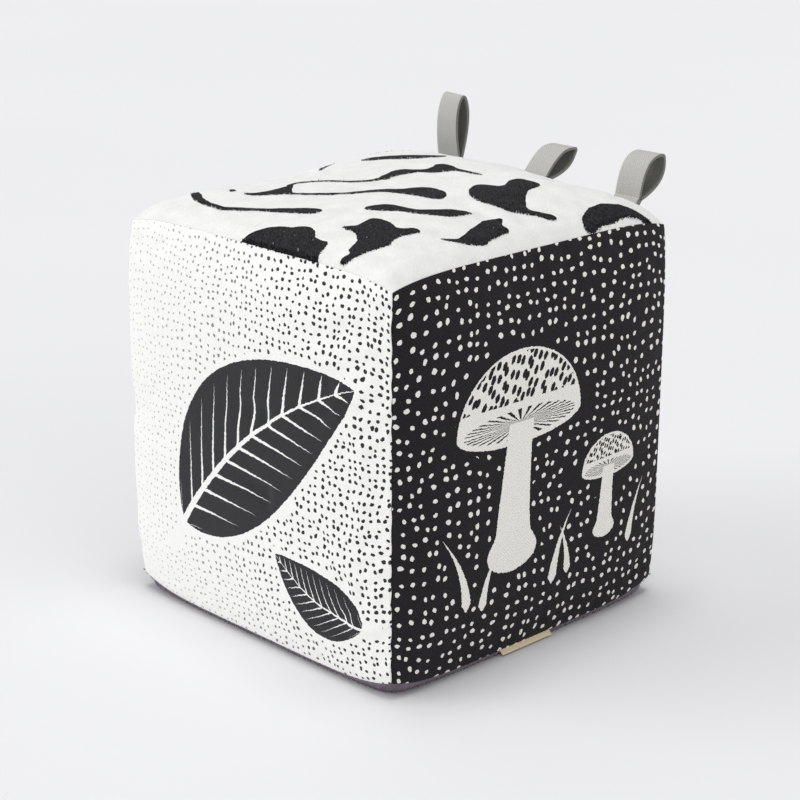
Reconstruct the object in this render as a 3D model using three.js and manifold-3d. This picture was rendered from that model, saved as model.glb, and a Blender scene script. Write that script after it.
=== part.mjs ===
// A baby's soft activity block: six cloth panels sewn edge to edge round fibre
// filling, with three tape loops in the rear top seam, a blank sewn-in label and
// a rattle capsule at the middle. Millimetres, +Z up. The origin is the middle of
// the flat that the block rests on. The pale dotted panel faces -Y, the dark one +X.
import * as THREE from "three";
import { mergeVertices } from "three/addons/utils/BufferGeometryUtils.js";
import Module from "manifold-3d";

const wasm = await Module();
wasm.setup();

// Cover: where its seams run
const blockWidth = 140; // between opposite upright seams, at mid height
const blockHeight = 146.8; // between the base seam and the top seam, at mid side
const baseSeamHeight = 2; // the base seam stands this far above the floor
const cornerTuck = 1; // seams draw in this far at the corners
const topCornerDip = 3.6; // the top seam sinks this far at the corners
const baseCornerLift = 4.3; // the base seam rises this far at the corners
const cornerPower = 5.7; // keeps these to the last part of each seam

// Cover: cloth and how far it swells
const clothThickness = 1.1;
const turningThickness = 1.1; // the seam allowance, pressed back on the cloth
const seamAllowance = 8;
const allowanceStep = 0.8; // run of the step where the allowance ends
const sideCrown = 5;
const topCrown = 8.2;
const topCrownSkewShares = { across: 0.1, back: 0.5 }; // fuller towards the rear
const topPile = 2.5;
const basePile = 1.2;
const baseRound = 8.75; // turn of the base's edge, up from the flat
const crownPower = 4.2;
const pilePower = 24;

// Fits
const fitGap = 0.3; // between pieces that touch
const seamInset = 0.25; // each panel's edge stops this short of the seam line
const samePoint = 0.001; // mesh points closer than this are one

// Sewing thread, along the inner corner of each seam
const threadRadius = 0.4;
const threadSides = 6;
const closingShare = 0.33; // half of the hand-sewn stretch, of half the base's rear seam

// Tape loops in the rear top seam
const tapeWidth = 11.5;
const tapeThickness = 1.1;
const tapeEndLength = 8;
const stemLength = 3; // the tape's two layers lie together up to here
const forwardFlop = 30; // degrees from upright
const backFlop = 105;
const loopSteps = 30;
const rootSteps = 6;
const leftLoopLength = 29;
const leftLoopGap = 5.4;
const middleLoopLength = 23;
const middleLoopGap = 8.2;
const rightLoopLength = 22.5;
const rightLoopGap = 8.8;
const tapeLoops = [
  { side: "left", placeShare: -0.62, length: leftLoopLength, gap: leftLoopGap, lean: 3 },
  { side: "middle", placeShare: 0.01, length: middleLoopLength, gap: middleLoopGap, lean: 61 },
  { side: "right", placeShare: 0.7, length: rightLoopLength, gap: rightLoopGap, lean: 41 },
];

// Sewn-in label under the dark panel
const labelWidth = 26;
const labelPlaceShare = -0.04; // its middle, along half the seam
const labelThickness = 0.6;
const labelShows = 2.4;

// Rattle capsule and its pellets
const capsuleRadius = 17;
const capsuleWall = 1.7;
const capsuleLip = 0.6;
const lipHeight = 2;
const capsuleSides = 24;
const arcSteps = 8;
const pelletRadius = 3.5;
const pelletClearance = 0.6;
const pelletSpacing = 7.8;

const cutterOverrun = 2; // how far a cutter runs past what it cuts

const halfWidth = blockWidth / 2;
const halfHeight = blockHeight / 2;
const centreHeight = baseSeamHeight + halfHeight;
const bandThickness = clothThickness + turningThickness;
const rightAngle = Math.PI / 2;
const seamLean = rightAngle / 2;

// The six sides. Looking at a side from outside, across is to the right.
const axis = (x, y, z) => new THREE.Vector3(x, y, z);
const sides = {
  front: { out: axis(0, -1, 0), across: axis(1, 0, 0), up: axis(0, 0, 1) },
  right: { out: axis(1, 0, 0), across: axis(0, 1, 0), up: axis(0, 0, 1) },
  back: { out: axis(0, 1, 0), across: axis(-1, 0, 0), up: axis(0, 0, 1) },
  left: { out: axis(-1, 0, 0), across: axis(0, -1, 0), up: axis(0, 0, 1) },
  top: { out: axis(0, 0, 1), across: axis(1, 0, 0), up: axis(0, 1, 0) },
  base: { out: axis(0, 0, -1), across: axis(-1, 0, 0), up: axis(0, 1, 0) },
};

// Lines of a panel's mesh, as shares of half its size: close together where the
// allowance ends and where the pile rolls over the seam.
const crownShares = [0.33, 0.62];
const rollShare = 0.96;
const bandShare = 1 - seamAllowance / halfWidth;
const sheetShare = 1 - (seamAllowance + allowanceStep) / halfWidth;
const outwardShares = [...crownShares, sheetShare, bandShare, rollShare, 1];
const gridShares = [...outwardShares.map((share) => -share).reverse(), 0, ...outwardShares];

// A point of a side is named by its place on a cube that runs from -1 to 1.
function cubePoint(side, a, b) {
  return side.out.clone().addScaledVector(side.across, a).addScaledVector(side.up, b);
}

// The flat-sided surface that the seams lie on.
function seamPoint(cube) {
  const near = (share) => Math.abs(share) ** cornerPower;
  const dip = cube.z > 0 ? topCornerDip : baseCornerLift;
  return new THREE.Vector3(
    cube.x * (halfWidth - cornerTuck * near(cube.y) * near(cube.z)),
    cube.y * (halfWidth - cornerTuck * near(cube.x) * near(cube.z)),
    centreHeight + cube.z * (halfHeight - dip * near(cube.x) * near(cube.y)),
  );
}

const dome = (a, b, power) => (1 - Math.abs(a) ** power) * (1 - Math.abs(b) ** power);

// Depth of the pile that stands on the cloth.
function pileAt(side, a, b) {
  if (side === sides.top) return topPile * dome(a, b, pilePower);
  if (side === sides.base) return basePile * dome(a, b, pilePower);
  return 0;
}

// How far the cloth stands out from the seam surface.
function clothRise(side, a, b) {
  if (side === sides.top) {
    const fuller = 1 + topCrownSkewShares.across * a + topCrownSkewShares.back * b;
    return topCrown * fuller * dome(a, b, crownPower);
  }
  if (side === sides.base) {
    const turn = (share) => Math.max(0, (Math.abs(share) - 1) * halfWidth + baseRound) / baseRound;
    const round = 1 - Math.sqrt(Math.max(0, 1 - turn(a) ** 2 - turn(b) ** 2));
    return seamPoint(cubePoint(side, a, b)).z * (1 - round) - pileAt(side, a, b);
  }
  return sideCrown * dome(a, b, crownPower);
}

const thicknessAt = (a, b) =>
  Math.max(Math.abs(a), Math.abs(b)) < bandShare ? clothThickness : bandThickness;

// A point at some depth under the cloth's face, in a layer whose edges stop at
// inset from the seams.
function layerPoint(side, cube, inset, depth) {
  const a = cube.dot(side.across);
  const b = cube.dot(side.up);
  return seamPoint(cube)
    .addScaledVector(side.across, -a * inset)
    .addScaledVector(side.up, -b * inset)
    .addScaledVector(side.out, clothRise(side, a, b) - depth(a, b));
}

// Triangles in, one closed mesh out.
function geometryOf(triangles) {
  const points = triangles.flat().flatMap((point) => point.toArray());
  const geometry = new THREE.BufferGeometry();
  geometry.setAttribute("position", new THREE.Float32BufferAttribute(points, 3));
  return geometry;
}

const quad = (p, q, r, s) => [
  [p, q, r],
  [p, r, s],
];

// The grid of one side's layer, as rows of points.
function layerGrid(side, inset, depth) {
  const row = (b) => gridShares.map((a) => layerPoint(side, cubePoint(side, a, b), inset, depth));
  return gridShares.map(row);
}

function gridTriangles(grid) {
  const triangles = [];
  for (let j = 1; j < grid.length; j += 1) {
    for (let i = 1; i < grid.length; i += 1) {
      triangles.push(...quad(grid[j - 1][i - 1], grid[j - 1][i], grid[j][i], grid[j][i - 1]));
    }
  }
  return triangles;
}

// The grid's edge points, once round.
function gridRim(grid) {
  const last = grid.length - 1;
  const steps = [...Array(last).keys()];
  return [
    ...steps.map((k) => grid[0][k]),
    ...steps.map((k) => grid[k][last]),
    ...steps.map((k) => grid[last][last - k]),
    ...steps.map((k) => grid[last - k][0]),
  ];
}

// A panel: its face, its back with the thick allowance round the edge, and the
// mitred rim between them.
function panelGeometry(side) {
  const face = layerGrid(side, seamInset, (a, b) => -pileAt(side, a, b));
  const back = layerGrid(side, seamInset + bandThickness, thicknessAt);
  const faceRim = gridRim(face);
  const backRim = gridRim(back);
  const rim = faceRim.flatMap((point, k) => {
    const next = (k + 1) % faceRim.length;
    return quad(backRim[k], backRim[next], faceRim[next], point);
  });
  const backTriangles = gridTriangles(back).map((triangle) => [...triangle].reverse());
  return geometryOf([...gridTriangles(face), ...backTriangles, ...rim]);
}

// Booleans
function solidOf(geometry) {
  const bare = geometry.clone();
  bare.deleteAttribute("normal");
  bare.deleteAttribute("uv");
  const merged = mergeVertices(bare, samePoint);
  return new wasm.Manifold(
    new wasm.Mesh({
      numProp: 3,
      vertProperties: merged.getAttribute("position").array,
      triVerts: new Uint32Array(merged.index.array),
    }),
  );
}

function meshOf(solid) {
  const mesh = solid.getMesh();
  const geometry = new THREE.BufferGeometry();
  geometry.setAttribute("position", new THREE.BufferAttribute(mesh.vertProperties, 3));
  geometry.setIndex(new THREE.BufferAttribute(mesh.triVerts, 1));
  return geometry;
}

function cut(geometry, cutters) {
  return meshOf(cutters.reduce((solid, cutter) => solid.subtract(solidOf(cutter)), solidOf(geometry)));
}

// Seams: the two sides that each one joins.
const seams = [
  ["front", "right"],
  ["right", "back"],
  ["back", "left"],
  ["left", "front"],
  ...["front", "right", "back", "left"].map((name) => [name, "top"]),
  ...["front", "right", "back", "left"].map((name) => [name, "base"]),
];

function seamRun(first, second) {
  const along = new THREE.Vector3().crossVectors(sides[first].out, sides[second].out);
  const corner = sides[first].out.clone().add(sides[second].out);
  return { along, at: (share) => corner.clone().addScaledVector(along, share) };
}

// Threads
const threadDepth = bandThickness + fitGap + threadRadius;
const threadStop = threadDepth + threadRadius + fitGap;
const threadStopShare = 1 - threadStop / halfWidth;
const threadApart = fitGap / 2 / halfWidth;

function circleShape(radius, points) {
  const outline = new THREE.Shape();
  for (let k = 0; k < points; k += 1) {
    const turn = (k / points) * Math.PI * 2;
    outline[k ? "lineTo" : "moveTo"](radius * Math.cos(turn), radius * Math.sin(turn));
  }
  return outline;
}

function threadGeometry(first, second, from, to, radius) {
  const run = seamRun(first, second);
  const bends = gridShares.filter((share) => share > from && share < to);
  const path = [from, ...bends, to].map((share) =>
    seamPoint(run.at(share))
      .addScaledVector(run.along, -share * (seamInset + bandThickness))
      .addScaledVector(sides[first].out, -threadDepth)
      .addScaledVector(sides[second].out, -threadDepth),
  );
  return new THREE.ExtrudeGeometry(circleShape(radius, threadSides), {
    steps: path.length - 1,
    extrudePath: new THREE.CatmullRomCurve3(path),
  });
}

// Filling
const fillClearance = threadRadius + fitGap * 2;
const fillInset = threadDepth * 2 + fillClearance * Math.SQRT2 - bandThickness - fitGap;
const fillDepth = (a, b) => thicknessAt(a, b) + fitGap;
const fillPoint = (name, cube) => layerPoint(sides[name], cube, fillInset, fillDepth);

function fillingGeometry() {
  const triangles = Object.values(sides).flatMap((side) =>
    gridTriangles(layerGrid(side, fillInset, fillDepth)),
  );
  for (const [first, second] of seams) {
    const run = seamRun(first, second);
    for (let k = 1; k < gridShares.length; k += 1) {
      const [near, far] = [run.at(gridShares[k - 1]), run.at(gridShares[k])];
      triangles.push(
        ...quad(
          fillPoint(first, near),
          fillPoint(second, near),
          fillPoint(second, far),
          fillPoint(first, far),
        ),
      );
    }
  }
  for (const x of [-1, 1]) {
    for (const y of [-1, 1]) {
      for (const z of [-1, 1]) {
        const corner = [
          fillPoint(x > 0 ? "right" : "left", axis(x, y, z)),
          fillPoint(y > 0 ? "back" : "front", axis(x, y, z)),
          fillPoint(z > 0 ? "top" : "base", axis(x, y, z)),
        ];
        triangles.push(x * y * z > 0 ? corner : corner.reverse());
      }
    }
  }
  return geometryOf(triangles);
}

// Rattle capsule: two cups, the lower one with a lip that plugs into the upper
const cavityRadius = capsuleRadius - capsuleWall;
const lipRadius = cavityRadius + capsuleLip;
const plugRadius = lipRadius + fitGap;

function arc(radius, fromHeight, toHeight) {
  const from = Math.asin(fromHeight / radius);
  const to = Math.asin(toHeight / radius);
  return [...Array(arcSteps + 1).keys()].map((k) => {
    const turn = from + ((to - from) * k) / arcSteps;
    return new THREE.Vector2(Math.max(0, radius * Math.cos(turn)), radius * Math.sin(turn));
  });
}

function latheAboutZ(profile) {
  const geometry = new THREE.LatheGeometry(profile, capsuleSides);
  return geometry.rotateX(rightAngle);
}

function atPole(points) {
  const pole = points.at(-1);
  return [...points.slice(0, -1), new THREE.Vector2(0, pole.y)];
}

const ballProfile = (radius) => [
  ...atPole(arc(radius, 0, -radius)).reverse(),
  ...atPole(arc(radius, 0, radius)).slice(1),
];

const lowerCup = latheAboutZ([
  ...atPole(arc(capsuleRadius, 0, -capsuleRadius)).reverse(),
  new THREE.Vector2(lipRadius, 0),
  new THREE.Vector2(lipRadius, lipHeight),
  new THREE.Vector2(cavityRadius, lipHeight),
  ...atPole(arc(cavityRadius, 0, -cavityRadius)),
]);

const upperCup = latheAboutZ([
  ...atPole(arc(cavityRadius, lipHeight + fitGap, cavityRadius)).reverse(),
  new THREE.Vector2(plugRadius, lipHeight + fitGap),
  new THREE.Vector2(plugRadius, fitGap),
  ...atPole(arc(capsuleRadius, fitGap, capsuleRadius)),
]);

// Tape loops: a strip folded in two and opened out, root at the local origin
function loopShape({ length, gap }) {
  const reach = length - tapeThickness - stemLength;
  const peakShare = 4 / Math.sqrt(27); // the most that sin(turn) sin(turn / 2) comes to
  const gapPoint = (turn) =>
    new THREE.Vector2(
      ((gap / 2) * Math.sin(turn) * Math.sin(turn / 2)) / peakShare,
      stemLength + (reach * (1 - Math.cos(turn))) / 2,
    );
  const turns = [...Array(loopSteps - 1).keys()].map((k) => ((k + 1) / loopSteps) * Math.PI * 2);
  const stepTurn = Math.PI / loopSteps / 10;
  const outside = turns.map((turn) => {
    const tangent = gapPoint(turn + stepTurn).sub(gapPoint(turn - stepTurn)).normalize();
    return gapPoint(turn).add(new THREE.Vector2(tangent.y, -tangent.x).multiplyScalar(tapeThickness));
  });
  const root = [...Array(rootSteps + 1).keys()].map((k) => {
    const turn = Math.PI + (k / rootSteps) * Math.PI;
    return new THREE.Vector2(tapeThickness * Math.cos(turn), tapeThickness * Math.sin(turn));
  });
  const shape = new THREE.Shape([...root, ...outside]);
  shape.holes.push(new THREE.Path([gapPoint(0), ...turns.map(gapPoint)]));
  return shape;
}

// A section drawn in the Y-Z plane, run along X and centred on it.
function alongX(shape, width) {
  const geometry = new THREE.ExtrudeGeometry(shape, { depth: width, bevelEnabled: false });
  const turned = new THREE.Matrix4().makeBasis(axis(0, 1, 0), axis(0, 0, 1), axis(1, 0, 0));
  return geometry.applyMatrix4(turned).translate(-width / 2, 0, 0);
}

const hingeStandOff = tapeThickness + fitGap * 1.5;

// The loop's hinge line lies just outside the seam, at its root.
function hingePoint({ placeShare }) {
  const out = hingeStandOff * Math.SQRT1_2;
  return seamPoint(axis(placeShare, 1, 1)).add(axis(0, out, out));
}

// A flat strip through a seam, width along X, from one depth to another along the
// seam's own lean; depths count inwards from the point given.
function stripGeometry(width, thickness, from, to) {
  const strip = new THREE.BoxGeometry(width, thickness, to - from);
  return strip.translate(0, 0, -(from + to) / 2).rotateX(-seamLean);
}

const tapeEndFrom = tapeThickness + fitGap;
const tapeEndTo = tapeEndFrom + tapeEndLength;

function tapeEndSlot(loop) {
  const { x, y, z } = hingePoint(loop);
  return stripGeometry(
    tapeWidth + fitGap * 2,
    (tapeThickness + fitGap) * 2,
    -tapeThickness,
    tapeEndTo + fitGap,
  ).translate(x, y, z);
}

const tapeEndSlots = tapeLoops.map(tapeEndSlot);
const threadBore = threadGeometry(
  "back",
  "top",
  -threadStopShare,
  threadStopShare,
  threadRadius + fitGap,
);

function tapeEndGeometry(loop) {
  const { x, y, z } = hingePoint(loop);
  const end = stripGeometry(tapeWidth, tapeThickness * 2, tapeEndFrom, tapeEndTo);
  return cut(end.translate(x, y, z), [threadBore]);
}

// Label: a strip through the seam between the dark panel and the base
const labelSeam = seamPoint(axis(1, labelPlaceShare, -1));
const labelTail = threadDepth * Math.SQRT2 - threadRadius - fitGap;

function labelStrip(width, thickness, shows, tail) {
  const strip = stripGeometry(width, thickness, -shows, tail).rotateX(-rightAngle);
  return strip.rotateZ(-rightAngle).translate(labelSeam.x, labelSeam.y, labelSeam.z);
}

const labelSlot = labelStrip(
  labelWidth + fitGap * 2,
  labelThickness + fitGap * 2,
  cutterOverrun,
  labelTail + fitGap,
);

// Assembly
const block = new THREE.Group();

function add(name, geometry, colour, roughness) {
  const material = new THREE.MeshStandardMaterial({ color: colour, roughness, metalness: 0 });
  const mesh = new THREE.Mesh(geometry, material);
  mesh.name = name;
  block.add(mesh);
  return mesh;
}

const paleCloth = "#f3f2ee";
const darkCloth = "#2a272a";
const clothRoughness = 0.9;

add("front_panel", panelGeometry(sides.front), paleCloth, clothRoughness);
add("right_panel", cut(panelGeometry(sides.right), [labelSlot]), darkCloth, clothRoughness);
add("back_panel", cut(panelGeometry(sides.back), tapeEndSlots), paleCloth, clothRoughness);
add("left_panel", panelGeometry(sides.left), darkCloth, clothRoughness);
add("top_panel", cut(panelGeometry(sides.top), tapeEndSlots), "#efefef", 1);
add("base_panel", cut(panelGeometry(sides.base), [labelSlot]), "#8f8494", 1);

// The filling goes in as two wads with the capsule between them.
const capsuleRoom = latheAboutZ(ballProfile(capsuleRadius + fitGap)).translate(0, 0, centreHeight);
const wadSlab = (direction) =>
  new THREE.BoxGeometry(blockWidth, blockWidth, blockHeight).translate(
    0,
    0,
    centreHeight + direction * (halfHeight + fitGap / 2),
  );
const filling = solidOf(fillingGeometry()).subtract(solidOf(capsuleRoom));
const lowerWad = filling.intersect(solidOf(wadSlab(-1)));
const upperWad = filling.intersect(solidOf(wadSlab(1)));
add("filling_lower", meshOf(lowerWad), "#f4f4f2", 1);
add("filling_upper", cut(meshOf(upperWad), tapeEndSlots), "#f4f4f2", 1);

for (const [first, second] of seams) {
  const lengths =
    first === "back" && second === "base"
      ? [
          ["left_thread", -threadStopShare, -closingShare],
          ["closing_thread", -closingShare, closingShare],
          ["right_thread", closingShare, threadStopShare],
        ]
      : [["thread", -threadStopShare, threadStopShare]];
  for (const [name, from, to] of lengths) {
    const thread = threadGeometry(first, second, from + threadApart, to - threadApart, threadRadius);
    add(`${first}_${second}_${name}`, thread, "#e8e6e0", 0.7);
  }
}

for (const loop of tapeLoops) {
  const tag = add(`${loop.side}_tag_loop`, alongX(loopShape(loop), tapeWidth), "#9a9a96", 0.85);
  tag.position.copy(hingePoint(loop));
  tag.rotation.x = -THREE.MathUtils.degToRad(loop.lean);
  tag.userData.flop = [-forwardFlop - loop.lean, backFlop - loop.lean];
  add(`${loop.side}_tag_ends`, tapeEndGeometry(loop), "#9a9a96", 0.85);
}

add(
  "care_label",
  labelStrip(labelWidth, labelThickness, labelShows, labelTail),
  "#f0dfc4",
  0.6,
);

add("rattle_cup_lower", lowerCup, "#e9e4da", 0.4).position.z = centreHeight;
add("rattle_cup_upper", upperCup, "#e9e4da", 0.4).position.z = centreHeight;

// Pellets lie in the bottom of the capsule, side by side.
for (const [name, row] of [["front", -1], ["middle", 0], ["back", 1]]) {
  const off = row * pelletSpacing;
  const swing = Math.sqrt((cavityRadius - pelletRadius - pelletClearance) ** 2 - off ** 2);
  const pellet = add(
    `${name}_rattle_pellet`,
    new THREE.IcosahedronGeometry(pelletRadius, 1),
    "#c9c4ba",
    0.35,
  );
  pellet.position.set(0, off, centreHeight - swing);
}

export default block;
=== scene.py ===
from functools import partial
from math import cos, pi, radians, sin, sqrt

import bpy
import numpy as np
from mathutils import Matrix, Vector, noise


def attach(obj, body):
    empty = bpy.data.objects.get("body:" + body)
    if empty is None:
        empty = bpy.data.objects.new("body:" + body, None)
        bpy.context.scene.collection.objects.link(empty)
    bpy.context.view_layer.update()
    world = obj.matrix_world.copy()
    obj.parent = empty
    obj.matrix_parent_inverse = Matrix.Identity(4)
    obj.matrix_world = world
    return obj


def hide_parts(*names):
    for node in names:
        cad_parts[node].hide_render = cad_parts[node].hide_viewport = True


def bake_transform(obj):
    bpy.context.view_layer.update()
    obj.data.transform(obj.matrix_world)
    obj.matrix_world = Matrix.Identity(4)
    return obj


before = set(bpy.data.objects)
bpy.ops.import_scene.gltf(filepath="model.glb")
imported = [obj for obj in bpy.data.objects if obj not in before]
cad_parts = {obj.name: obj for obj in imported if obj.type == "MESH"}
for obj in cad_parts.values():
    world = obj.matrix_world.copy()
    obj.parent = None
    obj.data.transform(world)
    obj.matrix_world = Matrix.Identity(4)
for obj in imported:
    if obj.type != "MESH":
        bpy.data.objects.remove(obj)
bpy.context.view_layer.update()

# The camera looks down a little on the block's front corner, from the photograph's
# angle and distance, and leans by the photograph's small roll.
block_middle = Vector((0, 0, 0.0754))
turn, rise, roll = radians(45.8715), radians(18.2552), radians(0.2139)
distance, aim_right, aim_up = 0.78224, 0.001054, 0.001268
level_right = Vector((cos(turn), sin(turn), 0))
towards_camera = Vector((sin(turn) * cos(rise), -cos(turn) * cos(rise), sin(rise)))
level_up = towards_camera.cross(level_right)
aim = block_middle + level_right * aim_right + level_up * aim_up
camera_right = cos(roll) * level_right + sin(roll) * level_up
camera_up = cos(roll) * level_up - sin(roll) * level_right

camera_data = bpy.data.cameras.new("photo_camera")
camera_data.lens = 93.53
camera_data.sensor_width = 36
camera_data.clip_start = 0.01
camera = bpy.data.objects.new("photo_camera", camera_data)
bpy.context.collection.objects.link(camera)
facing = Matrix((camera_right, camera_up, towards_camera)).transposed().to_4x4()
camera.matrix_world = Matrix.Translation(aim + towards_camera * distance) @ facing
bpy.context.scene.camera = camera

# The block stands on a plain pale floor in soft studio light: a broad source overhead, a
# window low on the left, a weak fill low on the right, and a pale room round it.
bpy.context.scene.view_settings.view_transform = "Standard"


def linear(hex_colour):
    """An sRGB hex value as the linear colour that a node takes."""
    shares = [int(hex_colour[k : k + 2], 16) / 255 for k in (1, 3, 5)]
    return (*(s / 12.92 if s <= 0.04045 else ((s + 0.055) / 1.055) ** 2.4 for s in shares), 1)


def add_node(tree, kind, inputs=(), operation=None, out=0, **settings):
    """Adds a node with its settings, its values and its links, and gives one output.

    A colour may be given as its sRGB hex value.
    """
    node = tree.nodes.new("ShaderNode" + kind)
    if operation:
        node.operation = operation
    for name, value in settings.items():
        setattr(node, name, value)
    for socket, value in inputs.items() if isinstance(inputs, dict) else enumerate(inputs):
        if isinstance(value, bpy.types.NodeSocket):
            tree.links.new(value, node.inputs[socket])
        else:
            is_hex = isinstance(value, str)
            node.inputs[socket].default_value = linear(value) if is_hex else value
    return node.outputs[out] if len(node.outputs) else node


colours = {"out": 2, "data_type": "RGBA"}  # what makes a Mix node blend colours


def start_material(name):
    """An empty material, and what adds nodes to it."""
    material = bpy.data.materials.new(name)
    material.use_nodes = True
    material.node_tree.nodes.clear()
    return material, partial(add_node, material.node_tree)


bpy.ops.object.select_all(action="DESELECT")
bpy.ops.mesh.primitive_plane_add(size=12)
floor = bpy.context.object
floor.name = "floor"

floor_card, add = start_material("matt_white_card")
place = add("TexCoord", out=3)
grain = add("TexNoise", {"Vector": place, "Scale": 900, "Detail": 2})
grain_bump = add("Bump", {"Height": grain, "Strength": 0.02, "Distance": 0.0002})
cloudy = add("TexNoise", {"Vector": place, "Scale": 3, "Detail": 1})
tone = add("Mix", {0: cloudy, 6: "#E5E5E8", 7: "#E8E8EB"}, **colours)
finish = {"Base Color": tone, "Roughness": 0.8, "Specular IOR Level": 0.1, "Normal": grain_bump}
surface = add("BsdfPrincipled", finish)
add("OutputMaterial", [surface])
floor.data.materials.append(floor_card)

world = bpy.data.worlds.new("pale_room")
bpy.context.scene.world = world
world.use_nodes = True
world.node_tree.nodes["Background"].inputs["Color"].default_value = linear("#FBFBFA")
world.node_tree.nodes["Background"].inputs["Strength"].default_value = 0.48

for name, strength, spread, pointing in (
    ("overhead", 1.4, 26, (0, 0, -1)),
    ("window", 1.4, 45, (1, 1.1, -0.5)),
    ("fill", 0.85, 60, (-1, 0.15, -0.06)),
):
    lamp_data = bpy.data.lights.new(name, "SUN")
    lamp_data.energy = strength
    lamp_data.angle = radians(spread)
    lamp = bpy.data.objects.new(name, lamp_data)
    bpy.context.collection.objects.link(lamp)
    lamp.rotation_euler = Vector(pointing).to_track_quat("-Z", "Y").to_euler()

# Rattle capsule: two cups of moulded polypropylene that snap together, with three
# glossy acrylic pellets loose inside. They stay as the CAD has them.
capsule_pp, add = start_material("moulded_polypropylene")
place = add("TexCoord", out=3)
cloudy = add("TexNoise", {"Vector": place, "Scale": 160, "Detail": 3})
milky = add("Mix", {0: cloudy, 6: "#E3DFD4", 7: "#EEEBE2"}, **colours)
spark = add("TexNoise", {"Vector": place, "Scale": 3200, "Detail": 1})
spark_bump = add("Bump", {"Height": spark, "Strength": 0.2, "Distance": 0.00004})
surface = add("BsdfPrincipled", {"Base Color": milky, "Roughness": 0.42, "IOR": 1.49, "Normal": spark_bump})
add("OutputMaterial", [surface])

pellet_acrylic, add = start_material("tumbled_acrylic")
place = add("TexCoord", out=3)
scuff = add("TexNoise", {"Vector": place, "Scale": 700, "Detail": 4})
scuffed = add("MapRange", {"Value": scuff, "To Min": 0.12, "To Max": 0.34})
amber = add("Mix", {0: scuff, 6: "#C3BFB0", 7: "#CFCBBE"}, **colours)
surface = add("BsdfPrincipled", {"Base Color": amber, "Roughness": scuffed, "IOR": 1.49})
add("OutputMaterial", [surface])


def refinish(piece, material):
    piece.data.materials.clear()
    piece.data.materials.append(material)


for name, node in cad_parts.items():
    if "rattle" in name:
        refinish(node, pellet_acrylic if name.endswith("pellet") else capsule_pp)

# Filling: two wads of bonded polyester fibre round the capsule. They are lumpy and
# dented all over, a little inside the room that the cover leaves them.
fibre_loft, add = start_material("bonded_polyester_fibre")
place = add("TexCoord", out=3)
strands = add("TexNoise", {"Vector": place, "Scale": 420, "Detail": 6, "Distortion": 3})
strand_tone = add("Mix", {0: strands, 6: "#DEDEDA", 7: "#F8F8F6"}, **colours)
strand_bump = add("Bump", {"Height": strands, "Strength": 0.9, "Distance": 0.0012})
finish = {"Base Color": strand_tone, "Roughness": 0.95, "Sheen Weight": 0.35, "Normal": strand_bump}
surface = add("BsdfPrincipled", finish)
add("OutputMaterial", [surface])

lumps = bpy.data.textures.new("fibre_lumps", "CLOUDS")
lumps.noise_scale = 0.011
for name in ("filling_lower", "filling_upper"):
    wad = bpy.data.objects.new(f"{name}_fibre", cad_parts[name].data.copy())
    bpy.context.collection.objects.link(wad)
    bpy.ops.object.select_all(action="DESELECT")
    wad.select_set(True)
    bpy.context.view_layer.objects.active = wad
    bpy.ops.object.mode_set(mode="EDIT")
    bpy.ops.mesh.select_all(action="SELECT")
    bpy.ops.mesh.remove_doubles(threshold=0.00001)
    bpy.ops.object.mode_set(mode="OBJECT")
    voxels = wad.modifiers.new("voxels", "REMESH")
    voxels.mode = "VOXEL"
    voxels.voxel_size = 0.0028
    lumping = wad.modifiers.new("lumping", "DISPLACE")
    lumping.texture = lumps
    lumping.strength = 0.0032
    lumping.mid_level = 1.1
    bpy.ops.object.modifier_apply(modifier="voxels")
    bpy.ops.object.modifier_apply(modifier="lumping")
    bpy.ops.object.shade_smooth()
    refinish(wad, fibre_loft)
    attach(wad, "block")
    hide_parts(name)

# Cover: six panels of cloth sewn edge to edge and stuffed tight, so each side swells
# between seams that stay nearly straight. The shape is found for the whole cover
# first: the cloth is held along its seams and blown up from inside.
half_width, half_height = 0.07, 0.0734
corner_tuck = 0.001  # seams draw in this far at the corners
top_corner_dip, base_corner_lift = 0.0036, 0.0043
corner_power = 5.7  # higher keeps the tuck and the dip closer to the corners
side_crown, top_crown = 0.005, 0.0082
crown_power, pile_power = 4.2, 24  # higher is flatter in the middle and steeper at the seams
top_crown_right, top_crown_back = 0.1, 0.5  # the top's crown grows by these shares
top_pile, base_pile = 0.0025, 0.0012
base_round = 0.00875
on_face = 0.9999  # a cube's points past this share lie on its face
sides = {
    "front": np.array(((0, -1, 0), (1, 0, 0), (0, 0, 1))),
    "right": np.array(((1, 0, 0), (0, 1, 0), (0, 0, 1))),
    "back": np.array(((0, 1, 0), (-1, 0, 0), (0, 0, 1))),
    "left": np.array(((-1, 0, 0), (0, -1, 0), (0, 0, 1))),
    "top": np.array(((0, 0, 1), (1, 0, 0), (0, 1, 0))),
    "base": np.array(((0, 0, -1), (-1, 0, 0), (0, 1, 0))),
}  # each side's outward direction, and its directions across and up as seen from outside


def seam_surface(cube):
    """Where points of a cube from -1 to 1 lie on the surface that the seams span."""
    near = np.abs(cube) ** corner_power
    dip = np.where(cube[:, 2] > 0, top_corner_dip, base_corner_lift)
    place = cube * (half_width, half_width, half_height)
    place[:, 0] -= cube[:, 0] * corner_tuck * near[:, 1] * near[:, 2]
    place[:, 1] -= cube[:, 1] * corner_tuck * near[:, 0] * near[:, 2]
    place[:, 2] += block_middle.z - cube[:, 2] * dip * near[:, 0] * near[:, 1]
    return place


def dome(a, b, power=crown_power):
    return (1 - np.abs(a) ** power) * (1 - np.abs(b) ** power)


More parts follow.
